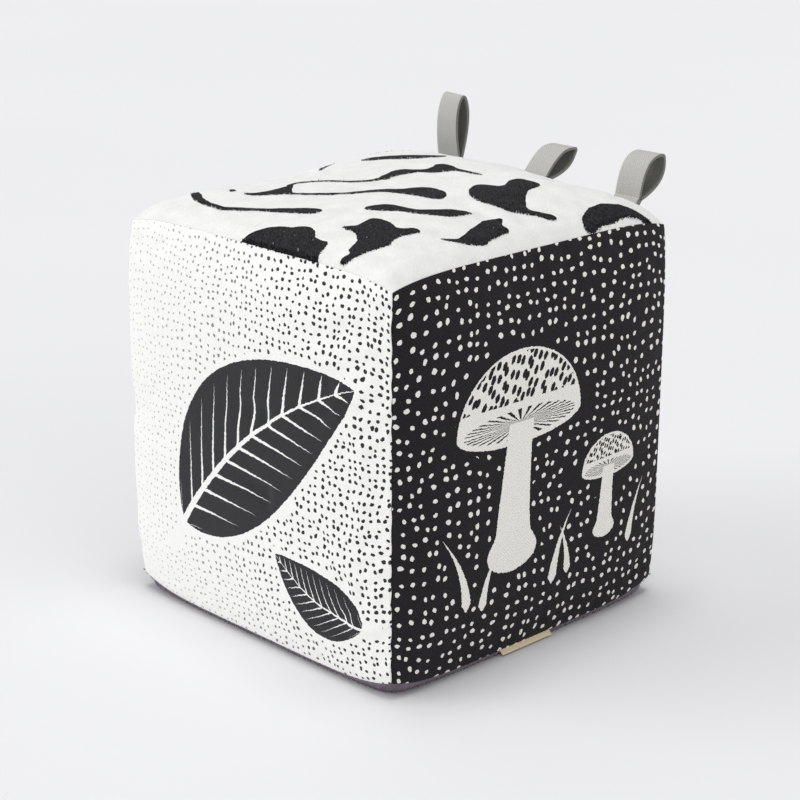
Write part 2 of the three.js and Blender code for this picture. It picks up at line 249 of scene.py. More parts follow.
def swell(side, a, b):
    """How far a side's cloth stands out from that surface, without its pile."""
    if side == "top":
        return top_crown * (1 + top_crown_right * a + top_crown_back * b) * dome(a, b)
    if side == "base":
        edge_a, edge_b = (
            np.maximum(0, (np.abs(s) - 1) * half_width + base_round) / base_round for s in (a, b)
        )
        flat = np.sqrt(np.maximum(0, 1 - edge_a**2 - edge_b**2))
        out, across, up = sides[side]
        height = seam_surface(out + np.outer(a, across) + np.outer(b, up))[:, 2]
        return height * flat - base_pile * dome(a, b, pile_power)
    return side_crown * dome(a, b)


def points_of(piece):
    flat = np.empty(len(piece.data.vertices) * 3)
    piece.data.vertices.foreach_get("co", flat)
    return flat.reshape(-1, 3)


def move_points(piece, points):
    piece.data.vertices.foreach_set("co", np.asarray(points, dtype=float).ravel())
    piece.data.update()


cells = 36
bpy.ops.object.select_all(action="DESELECT")
bpy.ops.mesh.primitive_cube_add(size=2)
form = bpy.context.object
bpy.ops.object.mode_set(mode="EDIT")
bpy.ops.mesh.select_all(action="SELECT")
bpy.ops.mesh.subdivide(number_cuts=cells - 1)
bpy.ops.object.mode_set(mode="OBJECT")
cube_points = points_of(form)
start = seam_surface(cube_points)
left_to_pressure = 0.00085
for side, (out, across, up) in sides.items():
    on_side = cube_points @ out > on_face
    a, b = cube_points[on_side] @ across, cube_points[on_side] @ up
    first = swell(side, a, b) - left_to_pressure * dome(a, b)
    start[on_side] += np.outer(first, out)
move_points(form, start)

resting_share = 0.9
sewn = (np.abs(cube_points) > on_face).sum(axis=1) > 1
resting = (cube_points[:, 2] < -on_face) & (np.abs(cube_points[:, :2]).max(axis=1) < resting_share)
held = form.vertex_groups.new(name="held")
held.add([int(k) for k in np.flatnonzero(sewn | resting)], 1, "REPLACE")
most_move, last_frame = 0.0011, 20
shift = np.zeros_like(start)
found = 0  # how far the crowns came out, so they start lower by as much
found = 0.001
cloth = form.modifiers.new("cloth", "CLOTH")
cloth.settings.quality = 6
cloth.settings.mass = 0.2
cloth.settings.tension_stiffness = 12
cloth.settings.compression_stiffness = 12
cloth.settings.shear_stiffness = 4
cloth.settings.bending_stiffness = 0.05
cloth.settings.shrink_min = -0.006
cloth.settings.use_pressure = True
cloth.settings.uniform_pressure_force = 4
cloth.settings.vertex_group_mass = "held"
cloth.settings.effector_weights.gravity = 0
for frame_number in range(1, last_frame + 1):
    bpy.context.scene.frame_set(frame_number)
bpy.ops.object.modifier_apply(modifier="cloth")
bpy.context.scene.frame_set(1)
shift = points_of(form) - start
length = np.linalg.norm(shift, axis=1, keepdims=True)
shift *= most_move * np.tanh(length / most_move) / np.maximum(length, 1e-9)
bpy.data.objects.remove(form)

side_shift = {}
for side, (out, across, up) in sides.items():
    on_side = np.flatnonzero(cube_points @ out > on_face)
    a, b = cube_points[on_side] @ across, cube_points[on_side] @ up
    order = np.lexsort((a, b))
    side_shift[side] = shift[on_side[order]].reshape(cells + 1, cells + 1, 3)


def between(grid, a, b):
    """A grid's values at points between its own, on smooth curves."""
    total = np.zeros((len(a), grid.shape[2]))
    cells = len(grid) - 1
    at_a, at_b = (np.clip((s + 1) / 2 * cells, 0, cells - 1e-6) for s in (a, b))
    weights = []
    for at in (at_a, at_b):
        f = at - np.floor(at)
        weights.append(
            (
                (-f + 2 * f**2 - f**3) / 2,
                (2 - 5 * f**2 + 3 * f**3) / 2,
                (f + 4 * f**2 - 3 * f**3) / 2,
                (f**3 - f**2) / 2,
            )
        )
    for i in range(4):
        column = np.clip(np.floor(at_a).astype(int) + i - 1, 0, cells)
        for j in range(4):
            row = np.clip(np.floor(at_b).astype(int) + j - 1, 0, cells)
            total += (weights[0][i] * weights[1][j])[:, None] * grid[row, column]
    return total


# Panels: each is cut on its own and turned into the seams round a small roll, which
# the stitches draw in every few millimetres. The tape ends open the seam they lie in.
tape_width, tape_thickness = 0.0115, 0.0011
measures = ("place", "length", "gap", "lean", "crease", "twist", "askew")
loops = {
    "left": dict(zip(measures, (-0.63, 0.029, 0.0054, 3, 0.3, -5, 0.03))),
    "middle": dict(zip(measures, (0.01, 0.023, 0.006, 61, 0.85, 2, 0))),
    "right": dict(zip(measures, (0.7, 0.0225, 0.0088, 41, 0.55, 2.5, 0))),
}  # place is a share of half the seam, lean is degrees from upright, twist is per metre
mouth_full, mouth_end = 0.46, 0.62  # a tape opens its seam to these shares of its width
seam_gap, gap_reach = 0.00001, 0.006  # half the gap at a seam, and where it has closed
roll_radius, roll_depth = 0.0013, 0.0005
plush_roll_depth = 0.00018  # the pile fills the roll
stitch, stitch_pull = 0.0028, 0.2  # a stitch's length, and how much it varies the roll
cloth_thickness = 0.0011
ripple_sizes = ((0.016, 0.00018, 3), (0.005, 0.00007, 5))  # breadth, height, seed
still_margin = 0.009  # ripples die out this far from the seams
floor_gap = 0.0001  # the base's cloth keeps this far above the floor
uneven_power = 12  # unevenness dies out at the seams, as a dome of this power does
top_unevenness = (
    (-0.9, -0.15, 0.35, -0.0014),
    (-0.85, 0.32, 0.25, -0.0009),
    (-0.3, 0.85, 0.3, 0.0008),
    (0.48, 0.85, 0.22, -0.0018),
    (0.03, 0.8, 0.2, 0.0012),
)  # where the filling is thin or thick under the top: shares across and up, breadth, height


def smooth_share(value, low, high):
    t = np.clip((value - low) / (high - low), 0, 1)
    return t * t * (3 - 2 * t)


def half_up_of(side):
    """Half of a panel's height on the flat cloth."""
    return half_width if side in ("top", "base") else half_height


def face_points(side, a, b):
    """Points of a panel's outer face, at shares a across and b up of half its size."""
    out, across, up = sides[side]
    pile = {"top": top_pile, "base": base_pile}.get(side, 0) * dome(a, b, pile_power)
    points = seam_surface(out + np.outer(a, across) + np.outer(b, up))
    swollen = swell(side, a, b) - (found * dome(a, b) if side != "base" else 0)
    if side == "top":
        for at_a, at_b, breadth, height in top_unevenness:
            off = ((a - at_a) ** 2 + (b - at_b) ** 2) / breadth**2
            swollen += height * np.exp(-off) * dome(a, b, uneven_power)
    points += np.outer(swollen + pile, out) + between(side_shift[side], a, b)
    half_up = half_up_of(side)
    from_seam = ((1 - np.abs(a)) * half_width, (1 - np.abs(b)) * half_up)
    along = (b * half_up, a * half_width)
    opened = np.zeros_like(a)
    if side in ("top", "back"):
        for loop in loops.values():
            off = np.abs(points[:, 0] - loop["place"] * half_width)
            shut = smooth_share(off, tape_width * mouth_full, tape_width * mouth_end)
            opened += (1 - shut) * (b > 0)
    for axis, sign, edge, run, wide in (
        (across, np.sign(a), from_seam[0], along[0], 0),
        (up, np.sign(b), from_seam[1], along[1], opened),
    ):
        drawn = roll_depth * (1 - stitch_pull + stitch_pull * np.cos(run * 2 * pi / stitch))
        curl = 1 - np.clip(edge / roll_radius, 0, 1)
        at_plush = (side == "top") | ((axis is up) & (b > 0) & (side != "base"))
        depth = np.where(at_plush, plush_roll_depth, drawn) * (1 - np.sqrt(1 - curl**2))
        points -= depth[:, None] * (out + sign[:, None] * axis) / sqrt(2)
        gap = seam_gap + wide * tape_thickness
        points -= (sign * gap * (1 - smooth_share(edge, 0, gap_reach)))[:, None] * axis
    return points


def ripples(points, size, height, seed):
    """Seeded soft noise at points, about as wide as size and as high as height."""
    at = points / size + seed
    return height * np.array([noise.noise(Vector(p)) for p in at])


def spread_lines(spacing, half_size):
    """Shares of half a panel's size for its mesh lines, close together at the seams."""
    edge = 1 - np.array((0, 0.00012, 0.00035, 0.0007, 0.0011, 0.0016, 0.0023)) / half_size
    inner = np.linspace(0, edge[-1], int(half_size / spacing))[:-1]
    half = np.concatenate((inner, edge[::-1]))
    return np.concatenate((-half[:0:-1], half))


def start_sheet(name, cells_across, cells_up):
    """A flat grid from -1 to 1 that becomes a panel or a strip, and its points."""
    bpy.ops.object.select_all(action="DESELECT")
    bpy.ops.mesh.primitive_grid_add(x_subdivisions=cells_across, y_subdivisions=cells_up, size=2)
    sheet = bpy.context.object
    sheet.name = name
    return sheet, points_of(sheet)


def mark_points(piece, name, first, second, scale=1):
    """Keeps two numbers at each of a piece's points, for its material to read."""
    marks = piece.data.attributes.new(name, "FLOAT_VECTOR", "POINT")
    marks.data.foreach_set("vector", (np.column_stack((first, second, 0 * first)) * scale).ravel())


def thicken(piece, thickness, offset, material_offset=0):
    """Gives a sheet its wall, inside its face at offset -1 and half on each side at 0."""
    wall = piece.modifiers.new("wall", "SOLIDIFY")
    wall.thickness = thickness
    wall.offset = offset
    wall.material_offset = material_offset
    bpy.context.view_layer.objects.active = piece
    bpy.ops.object.modifier_apply(modifier="wall")


def make_panel(side, spacing):
    """A panel's face as a sheet that knows where each point lies on the flat cloth."""
    half_up = half_up_of(side)
    lines_a, lines_b = spread_lines(spacing, half_width), spread_lines(spacing, half_up)
    panel, flat = start_sheet(f"{side}_panel_cloth", len(lines_a) - 1, len(lines_b) - 1)
    a = np.interp(flat[:, 0], np.linspace(-1, 1, len(lines_a)), lines_a)
    b = np.interp(flat[:, 1], np.linspace(-1, 1, len(lines_b)), lines_b)
    mark_points(panel, "cloth_mm", a * half_width, b * half_up, 1000)
    points = face_points(side, a, b)
    fade = smooth_share(np.minimum(1 - np.abs(a), 1 - np.abs(b)) * half_width, 0, still_margin)
    if side != "base":
        wave = sum(ripples(points, *size) for size in ripple_sizes)
        points += np.outer(wave * fade, sides[side][0])
    points[:, 2] = np.maximum(points[:, 2], floor_gap)
    move_points(panel, points)
    return panel, a, b


def finish_cloth(panel, side, material):
    """Gives a panel its thickness, its finish and its place on the block."""
    thicken(panel, cloth_thickness, -1)
    bpy.ops.object.shade_smooth()
    panel.data.materials.append(material)
    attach(panel, "block")
    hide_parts(f"{side}_panel")


# Prints: the cloth of the four upright panels is screen printed before it is cut, with
# loose dots that keep clear of one large motif. All places are millimetres on the cloth.


def dots(add, cloth, spacing, smallest, largest, stretch, left_ink=1, low_ink=1):
    """Loose hand-drawn dots that come out smaller and fainter towards the left and the foot.

    Gives how much ink there is, and the middle of the nearest dot.
    """
    drift = add("TexNoise", {"Vector": cloth, "Scale": 0.022, "Detail": 1}, out=1)
    drift = add("VectorMath", [drift, (11, 11, 0)], "MULTIPLY")
    drifted = add("VectorMath", [cloth, drift], "ADD")
    one_each = {"Vector": drifted, "Scale": 1 / spacing, "Randomness": 0.5}
    cell = add("TexVoronoi", one_each, voronoi_dimensions="2D").node.outputs
    own = add("SeparateColor", [cell["Color"]]).node.outputs
    off = add("VectorMath", [drifted, cell["Position"]], "SUBTRACT")
    off = add("VectorMath", [off, (1, 1, 0)], "MULTIPLY")
    angle = add("MapRange", {"Value": own[0], "To Max": pi})
    turned = add("VectorRotate", {"Vector": off, "Angle": angle}, rotation_type="Z_AXIS")
    turned = add("VectorMath", [turned, (1, 1 / stretch, 0)], "MULTIPLY")
    reach = add("VectorMath", [turned], "LENGTH", out=1)
    radius = add("MapRange", {"Value": own[1], "To Min": smallest, "To Max": largest})
    x, y, _ = add("SeparateXYZ", [cell["Position"]]).node.outputs
    from_left = add("MapRange", {"Value": x, "From Min": -70, "From Max": 56, "To Min": left_ink})
    from_foot = add("MapRange", {"Value": y, "From Min": -68, "From Max": -40, "To Min": low_ink})
    ink = add("Math", [from_left, from_foot], "MULTIPLY")
    spread = add("MapRange", {"Value": ink, "To Min": 0.33})
    radius = add("Math", [radius, spread], "MULTIPLY")
    inked = add("Math", [reach, radius], "LESS_THAN")
    ink = add("Math", [ink, 1.25], "MULTIPLY", use_clamp=True)
    inked = add("Math", [inked, ink], "MULTIPLY")
    middle = add("VectorMath", [cloth, off], "SUBTRACT")
    return inked, middle


def leaf(add, point, middle, angle, half_length, fullness):
    """A bent leaf on a stalk: distance outside it, and its own x, y off the rib and breadth."""
    turned, scaled = (0, 0, radians(angle)), (half_length, half_length, 1)
    own = add("Mapping", [point, (*middle, 0), turned, scaled], vector_type="TEXTURE")
    bend, lift, bluntness, foot_fuller = 0.16, 0.05, 0.8, 0.3
    stalk_middle, stalk_half, stalk_breadth = 1.12, 0.16, 0.018
    x, y, _ = add("SeparateXYZ", [own]).node.outputs
    square = add("Math", [x, x], "MULTIPLY")
    y = add("Math", [square, bend, y], "MULTIPLY_ADD")
    y = add("Math", [y, lift], "SUBTRACT")
    away = add("Math", [y], "ABSOLUTE")
    left = add("Math", [1, square], "SUBTRACT")
    left = add("Math", [left, 0], "MAXIMUM")
    left = add("Math", [left, bluntness], "POWER")
    fuller = add("Math", [x, -foot_fuller * fullness, fullness], "MULTIPLY_ADD")
    breadth = add("Math", [left, fuller], "MULTIPLY")
    blade = add("Math", [away, breadth], "SUBTRACT")
    length = add("Math", [x], "ABSOLUTE")
    length = add("Math", [length, 1], "SUBTRACT")
    blade = add("Math", [blade, length], "MAXIMUM")
    stalk = add("Math", [x, stalk_middle], "ADD")
    stalk = add("Math", [stalk], "ABSOLUTE")
    stalk = add("Math", [stalk, stalk_half], "SUBTRACT")
    thin = add("Math", [away, stalk_breadth], "SUBTRACT")
    stalk = add("Math", [stalk, thin], "MAXIMUM")
    both = add("Math", [blade, stalk], "MINIMUM")
    outside = add("Math", [both, half_length], "MULTIPLY")
    return outside, x, away, breadth


def leaf_carving(add, x, away, breadth):
    """The leaf's bare lines: a midrib, and side veins that run out to the edge."""
    vein_slant, vein_spacing = -0.95, 0.17
    rib_width = add("Math", [x, -0.011, 0.013], "MULTIPLY_ADD")
    rib = add("Math", [away, rib_width], "LESS_THAN")
    slant = add("Math", [away, vein_slant, x], "MULTIPLY_ADD")
    phase = add("Math", [slant, vein_spacing], "DIVIDE")
    phase = add("Math", [phase, 0.5], "PINGPONG")
    share = add("Math", [away, breadth], "DIVIDE")
    width = add("Math", [share, -0.105, 0.092], "MULTIPLY_ADD")
    vein = add("Math", [phase, width], "LESS_THAN")
    return add("Math", [rib, vein], "MAXIMUM")


def leaf_motif(add, point):
    """One great leaf across the panel and a small one below it."""
    great, x, away, breadth = leaf(add, point, (6, 4), 38, 58, 0.46)
    small, x2, away2, breadth2 = leaf(add, point, (36, -46), 158, 23, 0.5)
    outside = add("Math", [great, small], "MINIMUM")
    carved = leaf_carving(add, x, away, breadth)
    carved2 = leaf_carving(add, x2, away2, breadth2)
    first = add("Math", [great, 0], "LESS_THAN")
    bare = add("Mix", {0: first, 2: carved2, 3: carved}, data_type="FLOAT")
    return outside, bare


def oval(add, point, middle, half_across, half_up, angle=0):
    """Distance outside an oval, measured along its shorter half."""
    turned, scaled = (0, 0, radians(angle)), (half_across, half_up, 1)
    own = add("Mapping", [point, (*middle, 0), turned, scaled], vector_type="TEXTURE")
    own = add("VectorMath", [own, (1, 1, 0)], "MULTIPLY")
    reach = add("VectorMath", [own], "LENGTH", out=1)
    reach = add("Math", [reach, 1], "SUBTRACT")
    outside = add("Math", [reach, min(half_across, half_up)], "MULTIPLY")
    return outside, own


def blade(add, point, foot, height, lean, half_foot, foot_rise=9):
    """Distance outside a bent blade that widens from its foot and narrows to its tip."""
    x, y, _ = add("SeparateXYZ", [point]).node.outputs
    up = add("Math", [y, foot[1]], "SUBTRACT")
    up = add("Math", [up, height], "DIVIDE")
    square = add("Math", [up, up], "MULTIPLY")
    line = add("Math", [square, lean, foot[0]], "MULTIPLY_ADD")
    off = add("Math", [x, line], "SUBTRACT")
    off = add("Math", [off], "ABSOLUTE")
    width = add("Math", [up, -half_foot, half_foot], "MULTIPLY_ADD")
    opened = add("Math", [up, foot_rise, 0.1], "MULTIPLY_ADD", use_clamp=True)
    width = add("Math", [width, opened], "MULTIPLY")
    side = add("Math", [off, width], "SUBTRACT")
    middle = add("Math", [up, 0.5], "SUBTRACT")
    middle = add("Math", [middle], "ABSOLUTE")
    ends = add("Math", [middle, 0.5], "SUBTRACT")
    ends = add("Math", [ends, height], "MULTIPLY")
    return add("Math", [side, ends], "MAXIMUM")


def specks(add, point, size, angle, fill):
    """Short slanting dashes, for marks inside a motif."""
    turned, scaled = (0, 0, radians(angle)), (size, size * 0.55, 1)
    own = add("Mapping", [point, (0, 0, 0), turned, scaled], vector_type="TEXTURE")
    cell = add("TexVoronoi", {"Vector": own, "Scale": 1, "Randomness": 0.6}, voronoi_dimensions="2D")
    return add("Math", [cell, fill], "LESS_THAN")


def toadstool(add, point, middle, half_cap, stem_length):
    """A toadstool: distance outside it, and where its dark gills and specks lie."""
    cap, own = oval(add, point, middle, half_cap, half_cap * 0.86)
    y = add("SeparateXYZ", [own], out=1)
    under = add("Math", [y, -half_cap * 0.86], "MULTIPLY")
    cap = add("Math", [cap, under], "MAXIMUM")
    rim, _ = oval(add, point, middle, half_cap, half_cap * 0.24)
    cap = add("Math", [cap, rim], "MINIMUM")
    foot = (middle[0] - half_cap * 0.1, middle[1] - stem_length)
    stem = blade(add, point, foot, stem_length * 2.6, half_cap * 0.8, half_cap * 0.3, 99)
    bulb, _ = oval(add, point, (foot[0], foot[1] + half_cap * 0.16), half_cap * 0.4, half_cap * 0.24)
    stem = add("Math", [stem, bulb, half_cap * 0.15], "SMOOTH_MIN")
    above = add("SeparateXYZ", [point], out=1)
    above = add("Math", [above, middle[1]], "SUBTRACT")
    stem = add("Math", [stem, above], "MAXIMUM")
    outside = add("Math", [cap, stem], "MINIMUM")

    gills, gill_own = oval(add, point, middle, half_cap * 0.9, half_cap * 0.17)
    gill_turn, gill_share = 0.2, 0.19
    gx, gy, _ = add("SeparateXYZ", [gill_own]).node.outputs
    ray = add("Math", [gy, gx], "ARCTAN2")
    ray = add("Math", [ray, gill_turn], "DIVIDE")
    ray = add("Math", [ray, 0.5], "PINGPONG")
    ray = add("Math", [ray, gill_share], "LESS_THAN")
    inside = add("Math", [gills, 0], "LESS_THAN")
    ray = add("Math", [ray, inside], "MULTIPLY")
    off_stem = add("Math", [stem, 0.4], "GREATER_THAN")
    ray = add("Math", [ray, off_stem], "MULTIPLY")
    marks = specks(add, point, half_cap * 0.16, 62, 0.36)
    upper = add("Math", [y, 0.3], "GREATER_THAN")
    marks = add("Math", [marks, upper], "MULTIPLY")
    on_cap = add("Math", [cap, -0.8], "LESS_THAN")
    marks = add("Math", [marks, on_cap], "MULTIPLY")
    marks = add("Math", [marks, ray], "MAXIMUM")
    return outside, marks


def toadstool_motif(add, point):
    """A tall toadstool, a short one beside it, and grass at their feet."""
    tall, marks = toadstool(add, point, (-13, 14), 31, 52)
    short, short_marks = toadstool(add, point, (35, -14), 15, 26)
    outside = add("Math", [tall, short], "MINIMUM")
    bare = add("Math", [marks, short_marks], "MAXIMUM")
    for foot, height, lean, half_blade in (
        ((-38, -50), 30, -12, 2.4),
        ((-30, -52), 22, 7, 2.2),
        ((6, -52), 27, 9, 2.4),
        ((14, -50), 20, -5, 2.0),
        ((49, -48), 24, 8, 2.2),
    ):
        grass = blade(add, point, foot, height, lean, half_blade)
        outside = add("Math", [outside, grass], "MINIMUM")
    return outside, bare


def pear_motif(add, point):
    """A pear on its stalk, with one leaf."""
    body, _ = oval(add, point, (0, -16), 33, 31)
    neck, _ = oval(add, point, (4, 16), 16, 24, -8)
    pear = add("Math", [body, neck, 14], "SMOOTH_MIN")
    stalk = blade(add, point, (5, 36), 22, 7, 2.4, 99)
    outside = add("Math", [pear, stalk], "MINIMUM")
    side_leaf, x, away, breadth = leaf(add, point, (30, 44), 12, 17, 0.45)
    carved = leaf_carving(add, x, away, breadth)
    on_leaf = add("Math", [side_leaf, 0], "LESS_THAN")
    carved = add("Math", [carved, on_leaf], "MULTIPLY")
    marks = specks(add, point, 4.4, 70, 0.34)
    shine, _ = oval(add, point, (-14, -16), 11, 19, 18)
    shine = add("Math", [shine, 0], "LESS_THAN")
    marks = add("Math", [marks, shine], "MULTIPLY")
    outside = add("Math", [outside, side_leaf], "MINIMUM")
    return outside, add("Math", [carved, marks], "MAXIMUM")


def moon_motif(add, point):
    """A crescent moon among a few four-pointed stars."""
    full, _ = oval(add, point, (-6, 4), 36, 36)
    bite, _ = oval(add, point, (9, 11), 29, 29)
    bite = add("Math", [bite, -1], "MULTIPLY")
    outside = add("Math", [full, bite], "MAXIMUM")
    hollow = 0.6  # below 1, a star's sides curve in between its points
    for x, y, size in ((14, 14, 11), (40, 40, 8), (43, -20, 7), (-44, 46, 8), (20, -48, 6)):
        own = add("VectorMath", [point, (x, y, 0)], "SUBTRACT")
        own = add("VectorMath", [own], "ABSOLUTE")
        sx, sy, _ = add("SeparateXYZ", [own]).node.outputs
        sx = add("Math", [sx, hollow], "POWER")
        sy = add("Math", [sy, hollow], "POWER")
        star = add("Math", [sx, sy], "ADD")
        star = add("Math", [star, 1 / hollow], "POWER")
        star = add("Math", [star, size], "SUBTRACT")
        outside = add("Math", [outside, star], "MINIMUM")
    marks = specks(add, point, 4.6, 30, 0.34)
    low = add("SeparateXYZ", [point], out=1)
    low = add("Math", [low, -8], "LESS_THAN")
    marks = add("Math", [marks, low], "MULTIPLY")
    shallow = add("Math", [full, -2.5], "LESS_THAN")
    return outside, add("Math", [marks, shallow], "MULTIPLY")


def printed(add, cloth, motif, dot_sizes):
    """Where the screen laid ink: the motif less its bare marks, and dots clear of it."""
    wobble = add("TexNoise", {"Vector": cloth, "Scale": 0.9, "Detail": 2}, out=1)
    wobble = add("VectorMath", [wobble, (0.5, 0.5, 0.5)], "SUBTRACT")
    wobble = add("VectorMath", [wobble, (0.9, 0.9, 0)], "MULTIPLY")
    drawn = add("VectorMath", [cloth, wobble], "ADD")
    outside, bare = motif(add, drawn)
    inked = add("Math", [outside, 0], "LESS_THAN")
    inked = add("Math", [inked, bare], "SUBTRACT")
    inked = add("Math", [inked, 0], "MAXIMUM")
    dot, middle = dots(add, drawn, **dot_sizes)
    clearance = 2.1
    clear, _ = motif(add, middle)
    clear = add("Math", [clear, clearance], "GREATER_THAN")
    dot = add("Math", [dot, clear], "MULTIPLY")
    return add("Math", [inked, dot], "MAXIMUM")


# Pale panels: bleached cotton canvas, a plain weave, printed in charcoal. It gives a
# flat white with a faint grid of threads, and ink that sits a little unevenly on it.
canvas_dots = {
    "spacing": 3.02, "smallest": 0.54, "largest": 0.76, "stretch": 1.2, "left_ink": 0.25, "low_ink": 0.8
}
canvas_thread = 0.9  # real threads lie 0.5 mm apart; 0.9 mm is the finest that the render shows


def printed_canvas(name, motif):
    material, add = start_material(name)
    cloth = add("Attribute", out=1, attribute_name="cloth_mm")
    inked = printed(add, cloth, motif, canvas_dots)
    x, y, _ = add("SeparateXYZ", [cloth]).node.outputs
    warp = add("Math", [x, 2 * pi / canvas_thread], "MULTIPLY")
    weft = add("Math", [y, 2 * pi / canvas_thread], "MULTIPLY")
    warp = add("Math", [warp], "SINE")
    weft = add("Math", [weft], "SINE")
    weave = add("Math", [warp, weft], "MULTIPLY")
    slub = add("TexNoise", {"Vector": cloth, "Scale": 0.7, "Detail": 4})
    height = add("Math", [slub, 1.6, weave], "MULTIPLY_ADD")
    bump = add("Bump", {"Height": height, "Strength": 0.35, "Distance": 0.00008})
    bare_cloth = add("Mix", {0: slub, 6: "#F0F0EE", 7: "#FAFAF8"}, **colours)
    ink = add("Mix", {0: slub, 6: "#2A2A2D", 7: "#343437"}, **colours)
    colour = add("Mix", {0: inked, 6: bare_cloth, 7: ink}, **colours)
    finish = {"Base Color": colour, "Roughness": 0.92, "Specular IOR Level": 0.2, "Normal": bump}
    surface = add("BsdfPrincipled", {**finish, "Sheen Weight": 0.08})
    add("OutputMaterial", [surface])
    return material


for side, motif in {"front": leaf_motif, "back": pear_motif}.items():
    panel, _, _ = make_panel(side, spacing=0.0013)
    material = printed_canvas(f"bleached_canvas_{side}", motif)
    finish_cloth(panel, side, material)


# Dark panels: black cotton twill, printed in cream. It gives fine slanting ridges, and
# cloth and print painted lighter on the ridges and darker between them: painted shade.
twill_dots = {"spacing": 4.9, "smallest": 0.7, "largest": 0.95, "stretch": 1.18}
twill_ridge = 0.9  # millimetres between ridges, which fall to the right


def printed_twill(name, motif):
    material, add = start_material(name)
    cloth = add("Attribute", out=1, attribute_name="cloth_mm")
    inked = printed(add, cloth, motif, twill_dots)
    turns = sqrt(2) * pi / twill_ridge
    slant = add("VectorMath", [cloth, (turns, turns, 0)], "DOT_PRODUCT", out=1)
    ridge = add("Math", [slant], "SINE")
    slub = add("TexNoise", {"Vector": cloth, "Scale": 0.8, "Detail": 4})
    height = add("Math", [slub, 1.4, ridge], "MULTIPLY_ADD")
    bump = add("Bump", {"Height": height, "Strength": 0.5, "Distance": 0.00012})
    # painted light and shade: cloth and print are coloured lighter on the ridge tops and darker in the
    # grooves
    lit = add("MapRange", {"Value": height, "From Min": -1, "From Max": 2.2})
    bare_cloth = add("Mix", {0: lit, 6: "#181618", 7: "#262326"}, **colours)
    ink = add("Mix", {0: lit, 6: "#EBE8E2", 7: "#F6F3EE"}, **colours)
    colour = add("Mix", {0: inked, 6: bare_cloth, 7: ink}, **colours)
    finish = {"Base Color": colour, "Roughness": 0.9, "Specular IOR Level": 0.2, "Normal": bump}
    surface = add("BsdfPrincipled", {**finish, "Sheen Weight": 0.05})
    add("OutputMaterial", [surface])
    return material


for side, motif in {"right": toadstool_motif, "left": moon_motif}.items():
    panel, _, _ = make_panel(side, spacing=0.0013)
    material = printed_twill(f"black_twill_{side}", motif)
    finish_cloth(panel, side, material)

